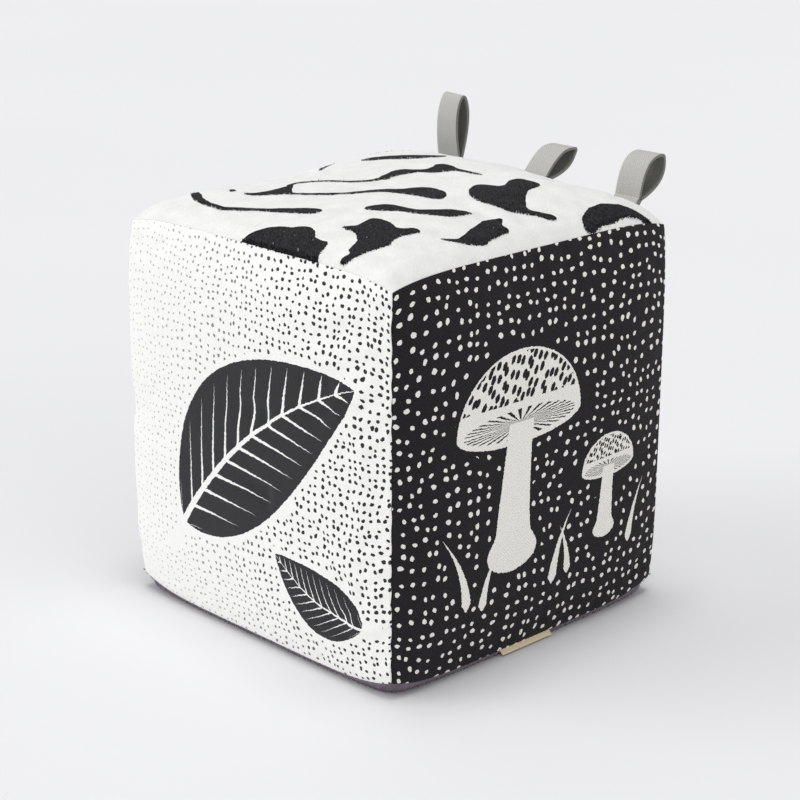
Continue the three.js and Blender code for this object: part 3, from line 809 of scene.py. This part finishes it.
# Top panel: white short-pile plush with printed black patches. The pile leans towards
# the front corner, so black strands lie ragged over the white along a patch's near
# edge, and its far edge is clean.
patches = (
    (-3, -73, -3.2, -65.5, -1, -62, 3, -59.3, 7, -57.6, 11, -55.2, 15, -55, 19.5, -57.5, 23.3, -60.6,
     29.7, -61.2, 32.2, -64.2, 33.2, -68, 34, -73),
    (25.8, -38.3, 28.3, -36.3, 34.2, -36.7, 39.2, -38.8, 42.3, -38, 44.2, -35.5, 47.3, -35.3,
     48.7, -37.7, 46.9, -43, 47.8, -48, 50.3, -52.6, 49, -57, 47.5, -62, 47, -68, 44.2, -68.5,
     42.8, -66.6, 43.6, -64.2, 40.8, -61.5, 39, -57, 36.5, -54, 31.7, -51, 24.4, -49.8, 24.2, -48.4,
     27.2, -45),
    (53.8, -1.5, 57.3, -5.3, 61, -6, 62.6, -9, 63.4, -14, 64.4, -19, 65.8, -23.3, 64, -27, 60.5, -31.8,
     57, -34.8, 56.4, -33.2, 58, -29, 57.4, -24, 55, -19, 53.5, -14, 52.2, -9, 52.2, -4.5),
    (45.7, -8.2, 45.2, -14, 43.2, -19, 39.2, -21.6, 34, -24.2, 28.3, -25.6, 23.3, -28.4, 19, -30.8,
     15.3, -30.8, 14.2, -28.3, 15.8, -24.4, 19.2, -21.6, 25, -21.2, 30, -20.6, 33.6, -18, 36.8, -14.8,
     39.4, -11.6, 42.6, -8.8),
    (28.3, 33.3, 32, 34.8, 38.8, 34, 40.6, 30, 41.5, 25, 45, 20, 49.2, 15.6, 53.7, 12.7, 56.7, 15.8,
     59.2, 18.6, 62.3, 17.4, 61.5, 14, 57.5, 10.4, 54, 7, 50.5, 4.2, 45, 3.2, 39, 2.1, 33.3, 3.8,
     28.4, 7.7, 25, 12.5, 24.4, 16.6, 27, 18.8, 30.8, 20.2, 31.2, 23.6, 28.6, 28.3),
    (16.7, 3, 22, 1.8, 26.3, -1.4, 28.4, -5.2, 26.4, -7.4, 21.5, -8, 15, -8.4, 9.5, -9.8, 5, -11,
     0.8, -14.6, -3.4, -20, -8.5, -25, -15, -29.4, -20, -31.9, -25, -35, -31, -40, -35.8, -41.5,
     -38.4, -40.4, -34.4, -36.6, -32.6, -30, -32, -23.4, -30.6, -23.4, -27, -27.2, -22.6, -30.4,
     -18, -28.4, -11.7, -24, -6.6, -19.8, -2.4, -13.2, 1.8, -8, 6.4, -4.4, 8.4, -0.8, 12, 2.4),
    (1.6, -39.8, 4.6, -41.4, 4, -44.6, -1.7, -47.4, -8.4, -49.9, -16.7, -52.7, -23.4, -55.6, -30, -57.8,
     -37, -57.4, -43.4, -56.5, -49.2, -55, -55, -51.8, -61, -47.4, -66, -43, -73, -39, -73, -33,
     -68, -37.5, -60.2, -44.5, -54.5, -47.6, -49, -51.2, -44, -53.2, -38, -54.6, -31, -55, -25, -52.6,
     -16.7, -49.6, -9, -45, -3.4, -41.6),
    (-7.6, 31.8, -2.5, 31.4, 2, 29.6, 7, 29.6, 16, 28.4, 10, 27.2, 4, 26.6, 0.6, 22.5, -1.7, 18.4,
     -5.8, 16.4, -7.5, 12.5, -8.7, 6.7, -8, 2.6, -10.8, 0.8, -13, 3.3, -14.3, 8.4, -15.6, 12.6,
     -14, 16.6, -10.2, 18.4, -7.3, 21.8, -8, 25.8, -9.8, 29.2),
    (73, 64, 66.8, 58.4, 62.5, 51.6, 60.4, 44.2, 60.8, 36.8, 63.2, 30.8, 65.6, 27, 69, 25.4, 70.2, 28.6,
     68.9, 34, 68.7, 41.6, 67.8, 48.4, 69, 55),
    (-42, 20.8, -38, 21, -32.4, 24.8, -27.4, 28.2, -21.8, 33.9, -17.5, 41.5, -19.8, 43.8, -26.8, 38.8,
     -32.4, 34.4, -38.2, 30.2, -43, 26.2),
    (-63, 44, -57, 49, -53, 55.5, -46, 58, -38, 59.6, -33, 62.4, -39.5, 65, -48, 64.6, -56.4, 62,
     -61.6, 56, -65.4, 49),
    (-45.6, 2.6, -49, 9.6, -54.6, 17.6, -62, 27.6, -63.6, 27, -57.6, 17.4, -51.6, 8.4),
    (-44.6, -40.2, -45.2, -38.8, -47.4, -37.4, -49.2, -37.2, -49, -38.6, -47.2, -40, -45.6, -41),
    (-33.4, -24.5, -33.4, -19, -30, -14.6, -25, -10.6, -18, -7.6, -13.6, -2.4, -11.6, 3, -9.4, 1.5,
     -11.6, -4, -16.4, -9.2, -24, -12.6, -28.6, -16.4, -31.4, -20.6, -31, -25),
)  # outlines on the cloth in millimetres, x and y in turn, as seen from above


def smooth_outline(corners, steps=4):
    """A closed curve through an outline's points."""
    here = np.array(corners, dtype=float).reshape(-1, 2)
    before, after, beyond = (np.roll(here, -k, axis=0) for k in (-1, 1, 2))
    t = (np.arange(steps) / steps)[:, None, None]
    curve = here + (after - before) * t / 2
    curve = curve + (2 * before - 5 * here + 4 * after - beyond) * t**2 / 2
    curve = curve + (3 * here - before - 3 * after + beyond) * t**3 / 2
    return curve.transpose(1, 0, 2).reshape(-1, 2)


def patch_distance(x, y):
    """Millimetres outside the nearest black patch, below zero inside one."""
    nearest = np.full(len(x), 99.0)
    for corners in patches:
        curve = smooth_outline(corners)
        inside = np.zeros(len(x), bool)
        away = np.full(len(x), 99.0)
        for (x0, y0), (run_x, run_y) in zip(curve, np.roll(curve, -1, axis=0) - curve):
            off_x, off_y = x - x0, y - y0
            t = np.clip((off_x * run_x + off_y * run_y) / (run_x**2 + run_y**2), 0, 1)
            away = np.minimum(away, np.hypot(off_x - t * run_x, off_y - t * run_y))
            crosses = (off_y < 0) != (off_y < run_y)
            inside ^= crosses & (off_x * run_y**2 < off_y * run_x * run_y)
        nearest = np.minimum(nearest, np.where(inside, -away, away))
    return nearest + ripples(np.column_stack((x, y, 0 * x)), 2.2, 0.35, 11)


pile_lean = np.array((1, -1)) / sqrt(2)
field_lines = 281  # 0.5 mm apart
field_share = np.linspace(-1, 1, field_lines)
field_a, field_b = (s.ravel() for s in np.meshgrid(field_share, field_share))
field_mm = np.column_stack((field_a, field_b)) * half_width * 1000
field_away = patch_distance(*field_mm.T)
field_near = np.clip(patch_distance(*(field_mm + pile_lean).T) - field_away, 0, 1)
patch_field = np.column_stack((field_away, field_near)).reshape(field_lines, field_lines, 2)


def add_tufts(side, material, keep, count, size, half_base, lean, seed):
    """Rows of small closed cones that stand on a panel and lean as the pile does."""
    random = np.random.default_rng(seed)
    a, b = random.uniform(-1, 1, (2, count))
    chosen = keep(a, b)
    a, b = a[chosen], b[chosen]
    step = 0.012  # a share of half the panel, over which its slope is taken
    sunk, lowest = 0.0005, 0.00005  # roots under the cloth, and a gap over the floor
    root = face_points(side, a, b)
    inside = np.clip(a, -1, 1 - step), np.clip(b, -1, 1 - step)
    run_a = face_points(side, inside[0] + step, b) - face_points(side, inside[0], b)
    run_b = face_points(side, a, inside[1] + step) - face_points(side, a, inside[1])
    normal = np.cross(run_a, run_b)
    normal /= np.linalg.norm(normal, axis=1, keepdims=True)
    n = len(a)
    height = size * random.uniform(0.7, 1.25, n)
    stray = random.normal(0, 0.28, (n, 3))
    tip = root + (normal + np.asarray(lean) + stray) * height[:, None]
    turn = random.uniform(0, 2 * pi, n)
    first = np.cross(normal, (0.3, 0.5, 0.81))
    first /= np.linalg.norm(first, axis=1, keepdims=True)
    second = np.cross(normal, first)
    corners = []
    for k in range(3):
        angle = turn + k * 2 * pi / 3
        ring = first * np.cos(angle)[:, None] + second * np.sin(angle)[:, None]
        corners.append(root - normal * sunk + ring * half_base)
    points = np.stack((*corners, tip), axis=1)
    if side == "base":
        points[:, :, 2] = np.maximum(points[:, :, 2], lowest)
    start = np.arange(n) * 4
    faces = np.stack([start[:, None] + f for f in ((0, 1, 3), (1, 2, 3), (2, 0, 3), (2, 1, 0))], 1)
    mesh = bpy.data.meshes.new(f"{side}_tufts")
    mesh.from_pydata(points.reshape(-1, 3).tolist(), [], faces.reshape(-1, 3).tolist())
    mesh.shade_smooth()
    mesh.materials.append(material)
    tufts = bpy.data.objects.new(f"{side}_tufts", mesh)
    bpy.context.collection.objects.link(tufts)
    return tufts, np.repeat(a, 4), np.repeat(b, 4)


def join_to(panel, tufts):
    bpy.ops.object.select_all(action="DESELECT")
    tufts.select_set(True)
    panel.select_set(True)
    bpy.context.view_layer.objects.active = panel
    bpy.ops.object.join()


def where_pile_shows(a, b):
    """Along a patch's near edge and where one meets a seam, but not round the tape loops."""
    away, near = between(patch_field, a, b).T
    seam_band, mouth_half, mouth_depth = 0.0014, 0.0068, 0.0022
    shows = (np.maximum(np.abs(a), np.abs(b)) > 1 - seam_band / half_width) & (away < 0.3)
    shows |= (away > -0.9) & (away < 0.2) & (near > 0.3)  # millimetres, and a share
    for loop in loops.values():
        in_mouth = np.abs(a - loop["place"]) * half_width < mouth_half
        in_mouth &= (1 - b) * half_width < mouth_depth
        shows &= ~in_mouth
    return shows


def mark_patches(piece, a, b):
    """Gives a piece's points their distance from a patch and how far they face the lean."""
    mark_points(piece, "patch", *between(patch_field, a, b).T)


plush, add = start_material("white_patched_plush")
place = add("TexCoord", out=3)
patch = add("Attribute", out=1, attribute_name="patch")
away, near, _ = add("SeparateXYZ", [patch]).node.outputs
strand = (0.0016, 0.0005, 0.001)  # real ones are far finer; this is what the render shows
combed = add("Mapping", [place, (0, 0, 0), (0, 0, -pi / 4), strand], vector_type="TEXTURE")
nap = add("TexNoise", {"Vector": combed, "Scale": 1, "Detail": 3})
stray = add("Math", [nap, 0.5], "SUBTRACT")
reach = add("Math", [near, 2.2, 0.6], "MULTIPLY_ADD")
ragged = add("Math", [stray, reach], "MULTIPLY")
black = add("Math", [away, ragged], "LESS_THAN")
lay = add("TexNoise", {"Vector": place, "Scale": 140, "Detail": 5})
lay = add("Math", [stray, 0.7, lay], "MULTIPLY_ADD")
white_pile = add("Mix", {0: lay, 6: "#D9D9D7", 7: "#F1F1F0"}, **colours)
strands = add("MapRange", {"Value": nap, "From Min": 0.32, "From Max": 0.68})
black_pile = add("Mix", {0: strands, 6: "#0C0C0E", 7: "#333336"}, **colours)
lint = add("TexNoise", {"Vector": combed, "Scale": 0.5, "Detail": 1})
lint = add("MapRange", {"Value": lint, "From Min": 0.75, "From Max": 0.8, "To Max": 0.5})
black_pile = add("Mix", {0: lint, 6: black_pile, 7: "#C9C9C6"}, **colours)
colour = add("Mix", {0: black, 6: white_pile, 7: black_pile}, **colours)
nap_bump = add("Bump", {"Height": nap, "Strength": 0.6, "Distance": 0.0004})
finish = {"Base Color": colour, "Roughness": 0.95, "Specular IOR Level": 0.1, "Normal": nap_bump}
surface = add("BsdfPrincipled", {**finish, "Sheen Weight": 0.02, "Sheen Roughness": 0.6})
add("OutputMaterial", [surface])

top, a, b = make_panel("top", spacing=0.001)
mark_patches(top, a, b)
finish_cloth(top, "top", plush)
lean = (0.8, -0.8, 0)
tufts, tuft_a, tuft_b = add_tufts(
    "top", plush, where_pile_shows, count=90000, size=0.00065, half_base=0.0002, lean=lean, seed=7
)
mark_patches(tufts, tuft_a, tuft_b)
join_to(top, tufts)

# Base panel: mauve plush with a longer, fuzzier pile. It bears the block on its flat
# middle, and the pile shows as a thin strip under the upright panels.
mauve, add = start_material("mauve_long_plush")
place = add("TexCoord", out=3)
nap = add("TexNoise", {"Vector": place, "Scale": 700, "Detail": 4})
tint = add("Mix", {0: nap, 6: "#5B525D", 7: "#857B88"}, **colours)
nap_bump = add("Bump", {"Height": nap, "Strength": 0.6, "Distance": 0.0005})
finish = {"Base Color": tint, "Roughness": 0.95, "Specular IOR Level": 0.1, "Normal": nap_bump}
surface = add("BsdfPrincipled", {**finish, "Sheen Weight": 0.08, "Sheen Roughness": 0.6})
add("OutputMaterial", [surface])

base, a, b = make_panel("base", spacing=0.0016)
finish_cloth(base, "base", mauve)


def keep_near_edge(a, b, from_share=0.86):
    return np.maximum(np.abs(a), np.abs(b)) > from_share


tufts, _, _ = add_tufts(
    "base", mauve, keep_near_edge, count=60000, size=0.0006, half_base=0.00024, lean=(0, 0, 0.2), seed=8
)
join_to(base, tufts)

# Sewing thread: spun polyester in a two-ply twist, one strand along each seam inside
# the cover. It stays as the CAD has it.
thread, add = start_material("spun_polyester_thread")
place = add("TexCoord", out=3)
ply = add("TexWave", {"Vector": place, "Scale": 260, "Distortion": 1.5}, out=1, bands_direction="DIAGONAL")
thread_tone = add("Mix", {0: ply, 6: "#CFCCC4", 7: "#EDEBE5"}, **colours)
ply_bump = add("Bump", {"Height": ply, "Strength": 0.5, "Distance": 0.0001})
finish = {"Base Color": thread_tone, "Roughness": 0.6, "Sheen Weight": 0.2, "Normal": ply_bump}
surface = add("BsdfPrincipled", finish)
add("OutputMaterial", [surface])
for name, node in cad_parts.items():
    if name.endswith("_thread"):
        refinish(node, thread)

# Tape loops: grey cotton tape in a herringbone weave, folded in two. Both ends are
# sewn into the seam between the top and the back, and the tape bends at the seam.
def herringbone(name, dark, pale):
    material, add = start_material(name)
    along = add("Attribute", out=1, attribute_name="tape_mm")
    x, y, _ = add("SeparateXYZ", [along]).node.outputs
    rib_spacing = 0.9  # real ribs lie 0.6 mm apart; this is the finest that the render shows
    column_width = 1.9  # the ribs turn back after this many millimetres
    folded = add("Math", [x, column_width], "PINGPONG")
    slant = add("Math", [folded, y], "ADD")
    slant = add("Math", [slant, 2 * pi / rib_spacing], "MULTIPLY")
    rib = add("Math", [slant], "SINE")
    slub = add("TexNoise", {"Vector": along, "Scale": 1.1, "Detail": 4})
    height = add("Math", [slub, 1.5, rib], "MULTIPLY_ADD")
    rib_bump = add("Bump", {"Height": height, "Strength": 0.6, "Distance": 0.00014})
    # painted light and shade: the ribs' tops are coloured lighter and the hollows between them darker
    lit = add("MapRange", {"Value": height, "From Min": -1, "From Max": 2.2})
    grey = add("Mix", {0: lit, 6: dark, 7: pale}, **colours)
    finish = {"Base Color": grey, "Roughness": 0.88, "Specular IOR Level": 0.2, "Normal": rib_bump}
    surface = add("BsdfPrincipled", {**finish, "Sheen Weight": 0.1})
    add("OutputMaterial", [surface])
    return material


tape_outside = herringbone("grey_herringbone_cotton", "#9C9B98", "#CDCCC9")
# The tape's inner face takes a darker grey: painted shade for the inside of each loop.
tape_painted_shade = herringbone("grey_herringbone_painted_shade", "#6A6A66", "#898984")


def lay_strip(name, path, run, width, direction, cells, attribute):
    """A strip along a path, with its points, which lie run far along and across far aside."""
    strip, flat = start_sheet(name, cells, len(path) - 1)
    row = np.rint((flat[:, 1] + 1) / 2 * (len(path) - 1)).astype(int)
    across = flat[:, 0] * width / 2
    mark_points(strip, attribute, across, run[row], 1000)
    return strip, path[row] + np.outer(across, direction), across


bisector = np.array((0, 1, 1)) / sqrt(2)
stem_length, end_depth = 0.003, 0.0094
hinge_out, bend_half = 0.00155, 0.0012  # the tape bends this far outside the seam, over twice this
layer_gap = 0.00002  # keeps two layers of tape or ribbon apart, so that each stays closed
sewn_lean = radians(45)
for side, loop in loops.items():
    seam = seam_surface(np.array([[loop["place"], 1, 1]]))[0]
    hinge = seam + bisector * hinge_out
    steps = np.linspace(-end_depth, stem_length, 26)
    turned = smooth_share(steps, -bend_half, bend_half)
    bend = sewn_lean + (radians(loop["lean"]) - sewn_lean) * turned
    heading = np.column_stack((0 * steps, np.sin(bend), np.cos(bend)))
    middle = np.zeros((len(steps), 3))
    middle[1:] = np.cumsum((heading[1:] + heading[:-1]) / 2 * np.diff(steps)[:, None], axis=0)
    middle += hinge - middle[np.argmin(np.abs(steps))]
    sideways = np.column_stack((0 * steps, np.cos(bend), -np.sin(bend)))
    t = np.linspace(0, 2 * pi, 62)[1:-1]
    reach = loop["length"] - tape_thickness - stem_length
    widest = 4 / sqrt(27)  # the most that sin(t) * sin(t / 2) comes to
    open_y = loop["gap"] / 2 * np.sin(t) * np.sin(t / 2) / widest
    open_y *= 1 - loop["crease"] * np.sin(t / 2) ** 12
    open_z = reach * (1 - np.cos(t)) / 2
    tangent = np.gradient(np.column_stack((open_y, open_z)), axis=0)
    tangent /= np.linalg.norm(tangent, axis=1, keepdims=True)
    open_y = open_y + tangent[:, 1] * tape_thickness / 2
    open_z = open_z - tangent[:, 0] * tape_thickness / 2
    ahead, beside = heading[-1], sideways[-1]
    bow = middle[-1] + np.outer(open_y, beside) + np.outer(open_z, ahead)
    half = tape_thickness / 2 + layer_gap
    path = np.concatenate((middle + sideways * half, bow, (middle - sideways * half)[::-1]))
    run = np.concatenate(([0], np.cumsum(np.linalg.norm(np.diff(path, axis=0), axis=1))))
    tape, points, across = lay_strip(
        f"{side}_tape_loop", path, run, tape_width, (1, 0, 0), cells=12, attribute="tape_mm"
    )
    above = np.maximum(0, points[:, 2] - hinge[2])
    points[:, 0] += across * (np.cos(loop["twist"] * above) - 1) + loop["askew"] * above
    points[:, 1] += across * np.sin(loop["twist"] * above)
    move_points(tape, points)
    # the inner face gets the darker grey, painted shade inside the loop
    tape.data.materials.append(tape_painted_shade)
    tape.data.materials.append(tape_outside)
    thicken(tape, tape_thickness, 0, material_offset=1)
    rounding = tape.modifiers.new("rounding", "BEVEL")
    rounding.width = tape_thickness * 0.22
    rounding.segments = 2
    rounding.angle_limit = radians(50)
    bpy.ops.object.modifier_apply(modifier="rounding")
    bpy.ops.object.shade_smooth()
    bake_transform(tape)
    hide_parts(f"{side}_tag_loop", f"{side}_tag_ends")

# Label: a short length of cream satin ribbon, folded in two and sewn into the seam
# under the dark panel so that its fold shows. It is blank.
satin, add = start_material("cream_satin_ribbon")
along = add("Attribute", out=1, attribute_name="ribbon_mm")
x = add("SeparateXYZ", [along])
line_spacing = 0.8  # real floats are finer; this is the finest that the render shows
float_line = add("Math", [x, 2 * pi / line_spacing], "MULTIPLY")
float_line = add("Math", [float_line], "SINE")
cloud = add("TexNoise", {"Vector": along, "Scale": 0.6, "Detail": 3})
cream = add("Mix", {0: cloud, 6: "#DFCAA6", 7: "#EBDBBD"}, **colours)
line_bump = add("Bump", {"Height": float_line, "Strength": 0.25, "Distance": 0.00005})
finish = {"Base Color": cream, "Roughness": 0.42, "Anisotropic": 0.4, "Normal": line_bump}
surface = add("BsdfPrincipled", finish)
add("OutputMaterial", [surface])

label_width, label_thickness, label_shows, label_tail = 0.026, 0.0006, 0.0018, 0.003
label_place = -0.04  # a share of half the seam
layer = label_thickness / 2 - layer_gap
seam = seam_surface(np.array([[1, label_place, -1]]))[0]
outward, crosswise = np.array((1, 0, -1)) / sqrt(2), np.array((1, 0, 1)) / sqrt(2)
fold = np.linspace(-pi / 2, pi / 2, 9)[1:-1]
flat_part = np.linspace(-label_tail, label_shows - layer, 8)
one_side = 0 * flat_part + layer / 2
fold_out, fold_off = label_shows - layer + layer / 2 * np.cos(fold), layer / 2 * np.sin(fold)
run_out = np.concatenate((flat_part, fold_out, flat_part[::-1]))
offset = np.concatenate((-one_side, fold_off, one_side))
path = seam + np.outer(run_out, outward) + np.outer(offset, crosswise)
label, points, _ = lay_strip(
    "care_label_ribbon", path, run_out, label_width, (0, 1, 0), cells=20, attribute="ribbon_mm"
)
move_points(label, points)
thicken(label, layer * 0.9, 0)
bpy.ops.object.shade_smooth_by_angle(angle=radians(50))
label.data.materials.append(satin)
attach(label, "block")
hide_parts("care_label")
